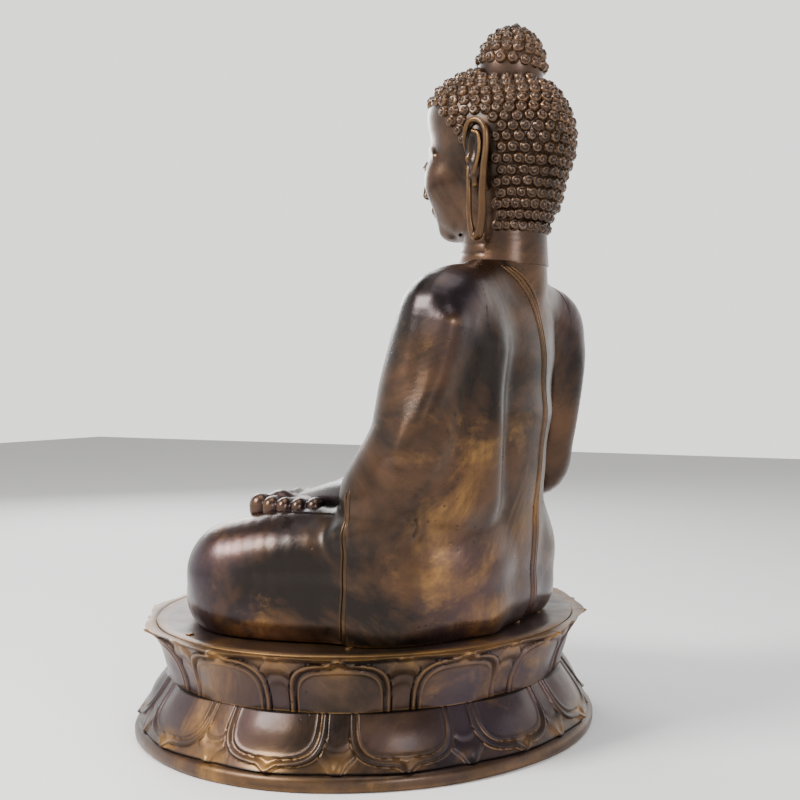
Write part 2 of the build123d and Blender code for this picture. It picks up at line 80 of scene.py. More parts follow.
class Clay:
    """A block of distances on a grid, in millimetres, negative inside the shape."""

    def __init__(self, low, high, voxel):
        self.low = np.array(low, dtype=float)
        self.voxel = voxel
        count = np.ceil((np.array(high) - self.low) / voxel).astype(int) + 1
        self.field = np.full(count, FAR, dtype=np.float32)

    def window(self, low, high, margin):
        """The cells around a box, and the coordinates of their points."""
        first = np.floor((low - margin - self.low) / self.voxel).astype(int)
        last = np.ceil((high + margin - self.low) / self.voxel).astype(int) + 1
        first = np.clip(first, 0, self.field.shape)
        last = np.clip(last, 0, self.field.shape)
        where = tuple(slice(a, b) for a, b in zip(first, last))
        axes = [self.low[i] + self.voxel * np.arange(first[i], last[i]) for i in range(3)]
        return where, np.meshgrid(*[a.astype(np.float32) for a in axes], indexing="ij", sparse=True)

    def add(self, shape, blend=0.0):
        """Joins a shape to the clay, with a soft fillet of about the blend's size."""
        distance, low, high = shape
        where, point = self.window(low, high, blend + 5 * self.voxel)
        self.field[where] = soft_min(self.field[where], distance(*point), blend)

    def cut(self, shape, blend=0.0):
        """Takes a shape away from the clay."""
        distance, low, high = shape
        where, point = self.window(low, high, blend + 5 * self.voxel)
        self.field[where] = -soft_min(-self.field[where], distance(*point), blend)

    def keep(self, axis, limit, side, spigot=0.0):
        """Cuts flat: keeps what is above (+1) or below (-1) a limit, and a spigot past the cut."""
        where = [None, None, None]
        where[axis] = slice(None)
        line = self.low[axis] + self.voxel * np.arange(self.field.shape[axis])
        plane = (side * (limit - line)).astype(np.float32)[tuple(where)]
        kept = np.maximum(self.field, plane)
        if spigot:
            kept = np.minimum(kept, np.maximum(self.field + SPIGOT_INSET, plane - spigot))
        self.field = kept

    def copy(self):
        """Another block with the same shape."""
        other = Clay.__new__(Clay)
        other.low, other.voxel, other.field = self.low, self.voxel, self.field.copy()
        return other

    def surface(self, axis, side, spot):
        """Where the surface is along an axis, seen from outside on one side of the block."""
        count = self.field.shape[axis]
        line = self.low[axis] + self.voxel * np.arange(count)[:: -side]
        points = np.tile(np.array(spot, dtype=float), (count, 1))
        points[:, axis] = line
        depth = sample(self, points)
        inside = np.flatnonzero(depth < 0)
        place = list(spot)
        if len(inside) and inside[0] > 0:
            last, first = inside[0] - 1, inside[0]
            share = depth[last] / (depth[last] - depth[first])
            place[axis] = line[last] + share * (line[first] - line[last])
        return place

    def on_surface(self, axis, side, spots, lift=0.0):
        """A route's spots moved onto the surface."""
        placed = [self.surface(axis, side, spot) for spot in spots]
        for spot in placed:
            spot[axis] += side * lift
        return placed


def soft_min(a, b, blend):
    if blend <= 0:
        return np.minimum(a, b)
    share = np.clip(0.5 + 0.5 * (a - b) / blend, 0, 1)
    return a * (1 - share) + b * share - blend * share * (1 - share)


def sample(clay, points):
    """The clay's distance at any points, by trilinear interpolation."""
    place = (points - clay.low) / clay.voxel
    place = np.clip(place, 0, np.array(clay.field.shape) - 1.001)
    cell = place.astype(int)
    share = place - cell
    total = np.zeros(len(points))
    for corner in np.ndindex(2, 2, 2):
        weight = np.prod(np.where(corner, share, 1 - share), axis=1)
        total += weight * clay.field[tuple((cell + corner).T)]
    return total


def slope_and_relief(clay, points, keen):
    """Outward directions, and how ridged (+1) or hollow (-1) the surface is, at points on it."""
    slope = np.zeros((len(points), 3))
    bend = -6 * sample(clay, points)
    for axis in range(3):
        near, far = np.zeros(3), np.zeros(3)
        near[axis], far[axis] = clay.voxel, 2 * clay.voxel
        slope[:, axis] = sample(clay, points + near) - sample(clay, points - near)
        bend += sample(clay, points + far) + sample(clay, points - far)
    slope /= np.maximum(np.linalg.norm(slope, axis=1, keepdims=True), 1e-6)
    bend /= (2 * clay.voxel) ** 2
    return slope, np.clip((bend - 0.03) * keen, -1, 1)


def ball(centre, radii, tilt=(0, 0, 0)):
    """An ellipsoid, turned by three angles in degrees."""
    centre = np.array(centre, dtype=float)
    radii = np.array(np.broadcast_to(radii, 3), dtype=float)
    turn = Matrix.Rotation(radians(tilt[2]), 3, "Z") @ Matrix.Rotation(radians(tilt[1]), 3, "Y")
    turn = np.array(turn @ Matrix.Rotation(radians(tilt[0]), 3, "X"), dtype=float)

    def distance(x, y, z):
        x, y, z = x - centre[0], y - centre[1], z - centre[2]
        u = [turn[0][i] * x + turn[1][i] * y + turn[2][i] * z for i in range(3)]
        k0 = np.sqrt(sum((u[i] / radii[i]) ** 2 for i in range(3)))
        k1 = np.sqrt(sum((u[i] / radii[i] ** 2) ** 2 for i in range(3)))
        return (k0 * (k0 - 1) / np.maximum(k1, 1e-5)).astype(np.float32)

    return distance, centre - radii.max(), centre + radii.max()


def smooth_route(stations, steps=5):
    """Points on a Catmull-Rom curve through stations of any number of values each."""
    s = np.array(stations, dtype=float)
    s = np.vstack([2 * s[0] - s[1], s, 2 * s[-1] - s[-2]])
    out = []
    for i in range(1, len(s) - 2):
        a, b, c, d = s[i - 1 : i + 3]
        for t in np.arange(steps) / steps:
            out.append(
                0.5 * (2 * b + (c - a) * t + (2 * a - 5 * b + 4 * c - d) * t**2
                       + (3 * b - a - 3 * c + d) * t**3)
            )
    out.append(s[-2])
    return np.array(out)


def rope(stations, steps=5):
    """A limb, finger or raised line through stations (x, y, z, radius)."""
    route = smooth_route(stations, steps)
    reach = route[:, 3].max()

    def distance(x, y, z):
        best = None
        for p, q in zip(route, route[1:]):
            along = q[:3] - p[:3]
            length2 = max(float(along @ along), 1e-9)
            share = ((x - p[0]) * along[0] + (y - p[1]) * along[1] + (z - p[2]) * along[2]) / length2
            share = np.clip(share, 0, 1)
            gap = np.sqrt(
                (x - p[0] - share * along[0]) ** 2
                + (y - p[1] - share * along[1]) ** 2
                + (z - p[2] - share * along[2]) ** 2
            )
            gap = gap - (p[3] + share * (q[3] - p[3]))
            best = gap if best is None else np.minimum(best, gap)
        return best.astype(np.float32)

    return distance, route[:, :3].min(axis=0) - reach, route[:, :3].max(axis=0) + reach


def finish_mesh(name, points, faces, sharp=50):
    """An object from points in millimetres, smooth except at sharp corners."""
    mesh = bpy.data.meshes.new(name)
    mesh.from_pydata([tuple(p) for p in np.asarray(points, dtype=float) * MM], [], faces)
    mesh.validate()
    mesh.polygons.foreach_set("use_smooth", [True] * len(mesh.polygons))
    mesh.set_sharp_from_angle(angle=radians(sharp))
    obj = bpy.data.objects.new(name, mesh)
    bpy.context.collection.objects.link(obj)
    return obj


def mark(obj, name, values):
    """Keeps a number on every point of a mesh, for its material."""
    layer = obj.data.attributes.new(name, "FLOAT", "POINT")
    layer.data.foreach_set("value", np.asarray(values, dtype=np.float32))


def cast(name, clay, form=None, keen=5.0):
    """Turns clay into a closed mesh, shaded like the whole form that it was cut from."""
    grid = openvdb.FloatGrid(FAR)
    grid.copyFromArray(np.ascontiguousarray(np.pad(clay.field, 2, constant_values=FAR)))
    points, quads = grid.convertToQuads(0.0)
    points = (points - 2) * clay.voxel + clay.low
    obj = finish_mesh(name, points, quads.tolist())
    drop_crumbs(obj)
    flat = np.empty(len(obj.data.vertices) * 3)
    obj.data.vertices.foreach_get("co", flat)
    slope, relief = slope_and_relief(form or clay, flat.reshape(-1, 3) / MM, keen)
    mark(obj, "relief", relief)
    obj.data.normals_split_custom_set_from_vertices(slope.tolist())
    return obj


def drop_crumbs(obj):
    """Deletes the small loose lumps that a split can leave."""
    shape = bmesh.new()
    shape.from_mesh(obj.data)
    shape.verts.ensure_lookup_table()
    group = [-1] * len(shape.verts)
    sizes = []
    for start in shape.verts:
        if group[start.index] >= 0:
            continue
        group[start.index] = len(sizes)
        queue, size = [start], 0
        while queue:
            vert = queue.pop()
            size += 1
            for edge in vert.link_edges:
                other = edge.other_vert(vert)
                if group[other.index] < 0:
                    group[other.index] = len(sizes)
                    queue.append(other)
        sizes.append(size)
    if len(sizes) > 1:
        biggest = sizes.index(max(sizes))
        loose = [v for v in shape.verts if group[v.index] != biggest]
        bmesh.ops.delete(shape, geom=loose, context="VERTS")
        shape.to_mesh(obj.data)
    shape.free()


# ---- materials --------------------------------------------------------------------------
class Nodes:
    """A short hand for building a node tree."""

    def __init__(self, name):
        self.material = bpy.data.materials.new(name)
        self.material.use_nodes = True
        self.tree = self.material.node_tree
        self.shader = self.tree.nodes["Principled BSDF"]

    def add(self, kind, inputs=(), **settings):
        node = self.tree.nodes.new(kind)
        for key, value in settings.items():
            setattr(node, key, value)
        for key, value in dict(inputs).items():
            if isinstance(value, bpy.types.NodeSocket):
                self.tree.links.new(value, node.inputs[key])
            else:
                node.inputs[key].default_value = value
        return node

    def link(self, source, key):
        self.tree.links.new(source, self.shader.inputs[key])

    def place(self, scale=(1, 1, 1)):
        coordinates = self.add("ShaderNodeTexCoord").outputs["Object"]
        return self.add("ShaderNodeMapping", {"Vector": coordinates, "Scale": scale}).outputs[0]

    def noise(self, scale, detail=5, rough=0.6, stretch=(1, 1, 1), distortion=0.0):
        inputs = {"Vector": self.place(stretch), "Scale": scale, "Detail": detail}
        inputs.update({"Roughness": rough, "Distortion": distortion})
        return self.add("ShaderNodeTexNoise", inputs).outputs[0]

    def span(self, value, low, high, to_low=0.0, to_high=1.0):
        inputs = {"Value": value, "From Min": low, "From Max": high}
        inputs.update({"To Min": to_low, "To Max": to_high})
        return self.add("ShaderNodeMapRange", inputs).outputs[0]

    def math(self, operation, a, b):
        return self.add("ShaderNodeMath", {0: a, 1: b}, operation=operation).outputs[0]

    def mix(self, factor, a, b):
        node = self.add("ShaderNodeMix", data_type="RGBA")
        for key, value in ((0, factor), (6, a), (7, b)):
            if isinstance(value, bpy.types.NodeSocket):
                self.tree.links.new(value, node.inputs[key])
            else:
                node.inputs[key].default_value = value if key == 0 else (*value, 1)
        return node.outputs[2]


def bronze(name, dark, brown, gold, patches=0.5, wear=0.6, dull=0.0, by_relief=False):
    """Patinated cast bronze: dark in the hollows, rubbed to gold on the high spots, and darkened by
    painted shade where a mesh marks it.
    """
    n = Nodes(name)
    cloud = n.noise(4.6, 6, 0.62, distortion=0.7)
    blotch = n.noise(11.0, 5, 0.6, distortion=0.5)
    grain = n.noise(48.0, 8, 0.7)
    brushed = n.noise(30.0, 5, 0.6, stretch=(1, 1, 0.1))
    violet = n.span(n.noise(3.1, 3, 0.5), 0.47, 0.64)
    base = n.mix(n.span(cloud, 0.41, 0.58), dark, brown)
    base = n.mix(n.math("MULTIPLY", violet, 0.7), base, VIOLET)
    worn = n.span(n.noise(4.2, 7, 0.66, distortion=0.9), 0.66 - 0.16 * patches, 0.80 - 0.1 * patches)
    worn = n.math("MULTIPLY", worn, n.span(brushed, 0.34, 0.6, 0.2, 1.0))
    worn = n.math("MULTIPLY", worn, n.span(blotch, 0.36, 0.56, 0.3, 1.0))
    if by_relief:
        relief = n.add("ShaderNodeAttribute", attribute_name="relief").outputs["Fac"]
        crest = n.span(relief, 0.1, 0.9)
        hollow = n.span(relief, -0.8, -0.15)
    else:
        pointiness = n.add("ShaderNodeNewGeometry").outputs["Pointiness"]
        crest = n.span(pointiness, 0.512, 0.585)
        hollow = n.span(pointiness, 0.43, 0.492)
    crest = n.math("MULTIPLY", crest, n.span(blotch, 0.3, 0.62, 0.25, 1.0))
    worn = n.math("MAXIMUM", worn, n.math("MULTIPLY", crest, wear))
    rubbed = n.add("ShaderNodeAttribute", attribute_name="rubbed").outputs["Fac"]
    worn = n.math("MAXIMUM", worn, n.math("MULTIPLY", rubbed, n.span(cloud, 0.38, 0.62)))
    worn = n.math("MULTIPLY", worn, n.span(grain, 0.3, 0.6, 0.45, 1.0))
    colour = n.mix(worn, base, gold)
    colour = n.mix(n.span(grain, 0.55, 0.8, 0.0, 0.45), colour, dark)
    colour = n.mix(hollow, dark, colour)
    holes = n.add(
        "ShaderNodeTexVoronoi", {"Vector": n.place(), "Scale": 84.0, "Randomness": 1.0}
    ).outputs["Distance"]
    rare = n.span(n.noise(11.0, 2, 0.5), 0.58, 0.68, 0.0, 0.8)
    pit = n.math("MULTIPLY", n.span(holes, 0.1, 0.18, 1.0, 0.0), rare)
    colour = n.mix(n.math("MULTIPLY", pit, 0.8), colour, dark)
    # painted shade: the colour is darkened where a mesh marks it, as on the scalp between the curls
    painted_shade = n.add("ShaderNodeAttribute", attribute_name="painted_shade").outputs["Fac"]
    colour = n.mix(n.math("MULTIPLY", painted_shade, 0.85), colour, dark)
    n.link(colour, "Base Color")
    n.link(n.span(n.noise(14.0, 6, 0.65), 0.3, 0.7, 0.24 + dull, 0.42 + dull), "Roughness")
    n.shader.inputs["Metallic"].default_value = 0.8
    n.shader.inputs["Coat Weight"].default_value = 0.16
    n.shader.inputs["Coat Roughness"].default_value = 0.22
    height = n.math("MULTIPLY", grain, 0.35)
    height = n.math("ADD", height, n.math("MULTIPLY", blotch, 1.5))
    height = n.math("ADD", height, n.math("MULTIPLY", brushed, 0.22))
    height = n.math("SUBTRACT", height, n.math("MULTIPLY", pit, 0.9))
    bump = n.add("ShaderNodeBump", {"Height": height, "Strength": 0.5, "Distance": 0.0016})
    n.link(bump.outputs[0], "Normal")
    return n.material


DARK = (0.012, 0.0075, 0.0055)
BROWN = (0.078, 0.037, 0.017)
VIOLET = (0.048, 0.032, 0.044)
GOLD = (0.36, 0.185, 0.050)
HAIR_BROWN = (0.060, 0.033, 0.021)
HAIR_GOLD = (0.27, 0.15, 0.07)
PEDESTAL_BROWN = (0.066, 0.036, 0.020)
BARE_DARK = (0.10, 0.06, 0.03)
BARE_BROWN = (0.30, 0.19, 0.10)
BARE_GOLD = (0.5, 0.33, 0.16)
robe_bronze = bronze("robe_bronze", DARK, BROWN, GOLD, patches=0.8, by_relief=True)
skin_bronze = bronze("skin_bronze", DARK, BROWN, GOLD, patches=0.55, by_relief=True)
hair_bronze = bronze("hair_bronze", DARK, HAIR_BROWN, HAIR_GOLD, patches=0.45, wear=0.8)
pedestal_bronze = bronze("pedestal_bronze", DARK, PEDESTAL_BROWN, GOLD, patches=0.7, wear=0.75, dull=0.1)
joint_bronze = bronze("joint_bronze", BARE_DARK, BARE_BROWN, BARE_GOLD)


def show(obj, nodes, material):
    """Puts a finished piece in the model in place of its CAD nodes."""
    obj.data.materials.clear()
    obj.data.materials.append(material)
    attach(obj, "root")
    if nodes:
        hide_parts(*nodes)


# ---- the body ---------------------------------------------------------------------------
body = Clay((-336, -272, FIGURE_BOTTOM - 8), (336, 304, NECK_JOINT + 10), 2.6 * FINE)

TORSO_BALLS = [
    ((0, 168, 300), (170, 92, 96)),
    ((0, 176, 380), (146, 89, 90)),
    ((0, 188, 460), (144, 87, 96)),
    ((0, 194, 540), (148, 84, 84)),
    ((0, 200, 592), (150, 72, 58)),
]
for centre, radii in TORSO_BALLS:
    body.add(ball(centre, radii), 26)
for side in (-1, 1):
    body.add(rope([(side * 20, 218, 652, 36), (side * 78, 215, 626, 38), (side * 138, 209, 604, 44)]), 20)
    body.add(ball((side * 60, 142, 566), (62, 28, 42), (0, 0, -side * 14)), 30)
body.add(rope([(0, 218, 640, 62), (0, 219, 690, 60)]), 22)

RIGHT_ARM = [
    (-140, 208, 600, 44),
    (-170, 214, 586, 54),
    (-184, 219, 556, 50),
    (-191, 220, 525, 47),
    (-199, 216, 470, 41),
    (-208, 206, 410, 37),
    (-217, 190, 363, 38),
    (-221, 146, 350, 36),
    (-222, 70, 344, 32),
    (-227, -10, 337, 27),
    (-231, -78, 331, 22),
]
LEFT_SLEEVE = [
    (140, 206, 600, 46),
    (166, 205, 588, 52),
    (173, 200, 560, 54),
    (178, 192, 525, 54),
    (184, 185, 489, 54),
    (190, 181, 453, 54),
    (194, 178, 430, 54),
    (198, 168, 405, 54),
    (201, 150, 382, 50),
    (202, 134, 354, 47),
]
LEFT_HIP = [
    (198, 134, 350, 47),
    (192, 130, 320, 52),
    (184, 124, 285, 62),
    (180, 120, 240, 68),
    (178, 118, 180, 70),
]
ROBE_BEHIND_ARM = [  # the robe hangs straight from the back to the sleeve
    (112, 216, 560, 50),
    (122, 210, 480, 50),
    (132, 200, 410, 54),
    (138, 190, 350, 58),
]
body.add(rope(RIGHT_ARM), 9)
body.add(rope(LEFT_SLEEVE), 20)
body.add(rope(LEFT_HIP), 22)
body.add(rope(ROBE_BEHIND_ARM), 24)

legs = [
    ball((0, 176, 232), (174, 80, 92)),
    rope([(96, 172, 250, 84), (160, 92, 256, 80), (204, -4, 252, 75), (226, -72, 244, 66)]),
    rope([(-100, 170, 250, 80), (-172, 88, 256, 80), (-226, -2, 252, 76), (-254, -82, 238, 66)]),
    rope([(224, -76, 234, 64), (140, -150, 220, 57), (30, -180, 212, 52), (-60, -186, 206, 46)]),
    rope([(-250, -92, 232, 66), (-150, -150, 236, 60), (-30, -120, 262, 52), (90, -60, 286, 46)]),
    ball((0, 20, 232), (200, 180, 84)),
]
for shape in legs:
    body.add(shape, 26)
SEAT_SPREAD = [  # the robe spreads to the seat around the hips, the knees and the back
    [(90, 214, 186, 36), (176, 150, 188, 46), (234, 14, 192, 46), (238, -80, 196, 44),
     (170, -156, 190, 36), (50, -206, 188, 34)],
    [(-90, 208, 190, 34), (-200, 144, 190, 44), (-262, 20, 192, 48), (-270, -90, 196, 44),
     (-190, -176, 190, 42), (-60, -212, 188, 34)],
    [(-100, 206, 196, 40), (0, 214, 196, 40), (100, 208, 196, 42)],
]
for spread in SEAT_SPREAD:
    body.add(rope(spread), 24)
body.keep(2, FIGURE_BOTTOM, 1)


def lay_ridge(axis, side, spots, radius, blend, lift=0.0):
    """Adds a soft fold along spots on the surface."""
    placed = body.on_surface(axis, side, spots, lift)
    body.add(rope([(*spot, radius) for spot in placed]), blend)


SLEEVE_FOLD = [(0, 238, 572), (0, 226, 510), (0, 206, 448), (0, 190, 410)]
BACK_FOLD = [(130, 0, 540), (134, 0, 490), (128, 0, 440), (116, 0, 390), (108, 0, 340)]
HIP_FOLD = [(0, 176, 316), (0, 130, 306), (0, 96, 300)]
lay_ridge(0, 1, SLEEVE_FOLD, 9, 26, -2)
lay_ridge(1, 1, BACK_FOLD, 12, 40, -8)
lay_ridge(0, 1, HIP_FOLD, 7, 24, -4)

# the robe is thicker than the skin, below its chest edge and left of its back edge
CHEST_EDGE = [(86, 640), (60, 616), (26, 588), (-16, 560), (-62, 536), (-104, 520), (-138, 512)]
BACK_EDGE = [
    (66, 656), (46, 636), (22, 602), (2, 552), (-14, 470), (-20, 380), (-20, 300), (-17, 230), (-15, 166),
]
SIDE_EDGE = [(117, 362), (114, 345), (111, 320), (110, 290), (110, 250), (110, 210), (110, 166)]
ROBE_THICKNESS = 2.0
MIDDLE_Y = 205  # between the front and the back of the torso


def stepped(value, width=1.5):
    return np.clip(0.5 + value / (2 * width), 0, 1)


def dress(clay):
    """Thickens the clay where the robe covers it."""
    x, y, z = [clay.low[i] + clay.voxel * np.arange(clay.field.shape[i]) for i in range(3)]
    x, y, z = x[:, None, None], y[None, :, None], z[None, None, :]
    chest_x, chest_z = np.array(CHEST_EDGE[::-1]).T
    front = stepped(np.interp(x, chest_x, chest_z) - z) * stepped(MIDDLE_Y - y, 14)
    back_x, back_z = np.array(BACK_EDGE[::-1]).T
    back = stepped(x - np.interp(z, back_z, back_x)) * stepped(y - MIDDLE_Y, 14)
    side_y, side_z = np.array(SIDE_EDGE[::-1]).T
    hip = stepped(y - np.interp(z, side_z, side_y))
    hip = hip * stepped(LAP_TOP + 20 - z, 20) * stepped(x - 150, 20)
    cover = np.maximum(front, back) * stepped(z - LAP_TOP, 20)
    clay.field = clay.field - (ROBE_THICKNESS * np.clip(cover + hip, 0, 1)).astype(np.float32)


dress(body)

# split into the castings
LEGS_LINE = LAP_TOP - 4
ARM_LINE = 148
SPIGOT = 9  # how far a casting runs on inside its neighbour
torso = body.copy()
torso.keep(2, LEGS_LINE, 1, SPIGOT)
torso.keep(0, -ARM_LINE, 1, SPIGOT)
torso.keep(0, ARM_LINE, -1, SPIGOT)
torso.keep(2, NECK_JOINT, -1)
lap = body.copy()
lap.keep(2, LEGS_LINE, -1, SPIGOT)
right_arm = body.copy()
right_arm.keep(0, -ARM_LINE, -1)
right_arm.keep(2, LEGS_LINE, 1)
left_arm = body.copy()
left_arm.keep(0, ARM_LINE, 1)
left_arm.keep(2, LEGS_LINE, 1)
show(cast("robed_torso", torso, body), ["torso"], robe_bronze)
show(cast("crossed_legs_robe", lap, body), ["crossed_legs"], robe_bronze)
show(cast("bare_right_arm", right_arm, body), ["right_arm"], skin_bronze)
show(cast("sleeved_left_arm", left_arm, body), ["left_arm"], robe_bronze)


# ---- robe borders, as beads on the surface -----------------------------------------------
def band(low, high, count):
    """The faces between two closed rows of points, which start at low and at high."""
    return [(low + k, low + (k + 1) % count, high + (k + 1) % count, high + k) for k in range(count)]


def bead(route, radius, spokes=10):
    """A round bead along points, tapered and closed at both ends. Returns points and faces."""
    route = np.array(route)
    along = np.gradient(route, axis=0)
    along /= np.linalg.norm(along, axis=1, keepdims=True)
    across = np.cross(along, (0.31, 0.52, 0.79))
    across /= np.linalg.norm(across, axis=1, keepdims=True)
    other = np.cross(along, across)
    walked = np.concatenate([[0], np.cumsum(np.linalg.norm(np.diff(route, axis=0), axis=1))])
    from_end = np.minimum(walked, walked[-1] - walked)
    width = radius * np.sqrt(np.clip(from_end / (4 * radius), 0.01, 1))
    angle = 2 * pi * np.arange(spokes) / spokes
    points = route[:, None] + width[:, None, None] * (
        np.cos(angle)[None, :, None] * across[:, None] + np.sin(angle)[None, :, None] * other[:, None]
    )
    last = (len(route) - 1) * spokes
    faces = [tuple(reversed(range(spokes))), tuple(range(last, last + spokes))]
    for i in range(len(route) - 1):
        faces += band(i * spokes, (i + 1) * spokes, spokes)
    return points.reshape(-1, 3), faces


def border(name, nodes, axis, side, edge, strands):
    """Beads along an edge on the surface. Each strand is (shift, radius); the edge is (other, z)."""
    points, faces = [], []
    for shift, radius in strands:
        flat = smooth_route([(value + shift, z) for value, z in edge], 16)
        spots = [(value, 0, z) if axis == 1 else (0, value, z) for value, z in flat]
        made, made_faces = bead(body.on_surface(axis, side, spots, -0.2 * radius), radius)
        start = sum(map(len, points))
        points.append(made)
        faces += [tuple(start + i for i in face) for face in made_faces]
    obj = finish_mesh(name, np.vstack(points), faces, 70)
    mark(obj, "relief", np.full(len(obj.data.vertices), 0.3))
    show(obj, nodes, robe_bronze)


border("robe_back_hem", ["robe_back_edge"], 1, 1, BACK_EDGE, [(-9, 2.6), (-1.5, 3.2), (7, 2.4)])
CHEST_NODES = ["robe_chest_edge", "robe_shoulder_fold"]
border("robe_chest_hem", CHEST_NODES, 1, -1, CHEST_EDGE, [(0, 3.2), (9, 2.2)])
border("robe_side_hem", [], 0, 1, SIDE_EDGE, [(0, 3.0), (-6, 2.0)])

# ---- the head ---------------------------------------------------------------------------
HEAD_Y = 219
HEAD_Z = 835
head = Clay((-112, 76, NECK_JOINT - 4), (112, 334, 946), 1.3 * FINE)
head.add(ball((0, HEAD_Y, HEAD_Z), (83.5, 98, 99)))
head.add(ball((0, 185, 871), (74, 78, 62)), 18)
head.add(ball((0, 246, 762), (60, 51, 50)), 20)
head.add(ball((0, 184, 806), (64, 74, 62)), 20)
head.add(ball((0, 188, 778), (66, 76, 74)), 24)
head.add(ball((0, 169, 738), (46, 50, 38)), 20)
head.add(ball((0, 140, 714), (20, 18, 14)), 14)
head.add(rope([(0, 218, NECK_JOINT - 10, 64), (0, 220, 690, 60), (0, 220, 740, 58)]), 12)
for side in (-1, 1):
    head.add(ball((side * 38, 146, 778), (28, 24, 28)), 26)


def face_line(spots, radius, blend, lift=0.0, carve=False):
    """A raised or carved line on the front of the head, on both sides."""
    for side in (-1, 1):
        placed = head.on_surface(1, -1, [(side * x, 0, z) for x, z in spots], lift)
        line = rope([(*spot, radius) for spot in placed])
        if carve:
            head.cut(line, blend)
        else:
            head.add(line, blend)


EYE_X, EYE_Z = 31, 803
for side in (-1, 1):  # shallow sockets with the eyeballs set in them
    x, y, z = head.surface(1, -1, (side * EYE_X, 0, EYE_Z))
    head.cut(ball((x, y - 5, z + 3), (21, 10, 10), (0, 0, side * 14)), 9)
    head.add(ball((x, y + 7, z), (17, 11, 10), (0, 0, side * 16)), 4)
face_line([(9, 817), (20, 825), (36, 828), (50, 823), (60, 813)], 2.4, 6, -0.6)

nose_top = head.surface(1, -1, (0, 0, 822))[1]
nose_foot = head.surface(1, -1, (0, 0, 764))[1]
head.add(rope([(0, nose_top + 4, 822, 6), (0, nose_top - 3, 802, 5.5),
               (0, nose_foot - 11, 781, 6.5), (0, nose_foot - 12, 770, 8)]), 7)
for side in (-1, 1):
    head.add(ball((side * 9.5, nose_foot - 4, 768), (6.5, 8, 5.5)), 4)
    head.cut(ball((side * 5, nose_foot - 9, 762.5), (2.6, 3.6, 2.2)), 2)

face_line([(0, 747), (7, 748.6), (14, 746.8), (21, 744.5)], 2.7, 4, 0.4)
face_line([(0, 738.5), (8, 739), (15, 741.6)], 3.2, 4, 0.2)
face_line([(0, 743.4), (8, 743.2), (17, 743.8), (23, 745.6)], 0.8, 1.6, 0.5, carve=True)
face_line([(26, 745), (27, 745.5)], 2.6, 4, 1.2, carve=True)
face_line([(0, 726), (7, 727)], 3.0, 7, 1.6, carve=True)
face_line([(0, 756), (0.4, 752)], 1.6, 2.5, 0.8, carve=True)
face_line([(14, 800), (22, 803.5), (32, 804.5), (41, 802), (49, 797.5)], 1.5, 2.2, 0.4)
face_line([(15, 798), (22, 800), (32, 800.6), (41, 799), (48, 796)], 0.9, 1.2, 0.5, carve=True)
face_line([(16, 795.5), (24, 794.5), (33, 794.2), (42, 795), (48, 796)], 1.1, 2.4, 0.0)
face_line([(12, 806), (21, 811), (33, 812.5), (45, 809.5), (54, 803)], 0.9, 2.0, 0.6, carve=True)
brow_mark = head.surface(1, -1, (0, 0, 838))
head.add(ball(brow_mark, 3.2), 1)

for crease_z, radius in ((702, 61), (688, 61.5), (675, 63)):  # the folds of the neck
    crease = [
        (radius * sin(a), HEAD_Y - radius * cos(a), crease_z + 4 * cos(a), 1.3)
        for a in np.linspace(-1.5, 1.5, 15)
    ]
    head.cut(rope(crease, 2), 3)
show(cast("head_and_neck", head, keen=2.5), ["head"], skin_bronze)

EAR_HELIX = [
    (82, 202, 806, 3.0), (86, 199, 828, 3.6), (90, 206, 847, 4.0), (92, 220, 850, 4.2),
    (94, 232, 838, 4.2), (94, 234, 816, 4.2), (92, 230, 788, 4.6), (88, 226, 756, 5.0),
    (83, 223, 724, 5.6), (79, 217, 700, 6.2), (78, 209, 698, 5.6), (80, 204, 716, 4.0),
    (83, 204, 748, 3.6), (84, 204, 778, 3.4), (82, 203, 796, 3.0),
]
EAR_RIDGE = [
    (90, 212, 836, 2.2), (92, 222, 830, 2.6), (92, 223, 806, 2.8),
    (90, 216, 784, 2.6), (86, 209, 776, 2.2),
]
for side, name, node in ((-1, "right_long_ear", "right_ear"), (1, "left_long_ear", "left_ear")):
    low, high = sorted((side * 62, side * 106))
    ear = Clay((low, 188, 682), (high, 246, 862), 1.0 * FINE)
    ear.add(ball((side * 85, 217, 815), (6, 15, 35)), 3)
    ear.add(rope([(side * 85, 214, 786, 7), (side * 84, 214, 766, 5)]), 4)
    ear.add(ball((side * 78, 219, 806), (14, 10, 38)), 4)
    ear.add(rope([(side * 76, 220, 780, 8), (side * 72, 221, 762, 6)]), 6)
    ear.add(rope([(side * x, y, z, r) for x, y, z, r in EAR_HELIX]), 2.5)
    ear.cut(ball((side * 96, 213, 812), (9, 9, 21)), 3)
    ear.add(rope([(side * x, y, z, r) for x, y, z, r in EAR_RIDGE]), 2)
    ear.add(ball((side * 86, 204, 800), (4, 4, 6)), 3)
    show(cast(name, ear, keen=2.0), [node], skin_bronze)

# ---- hair ---------------------------------------------------------------------------------
TOPKNOT_BASE = np.array((0.0, 229.0, 934.0))
TOPKNOT_TILT = 8
TOPKNOT_AXIS = np.array((0.0, sin(radians(TOPKNOT_TILT)), cos(radians(TOPKNOT_TILT))))
TOPKNOT_RADIUS = 46.0
TOPKNOT_RISE = 55.0
CURL_PITCH = 16.6


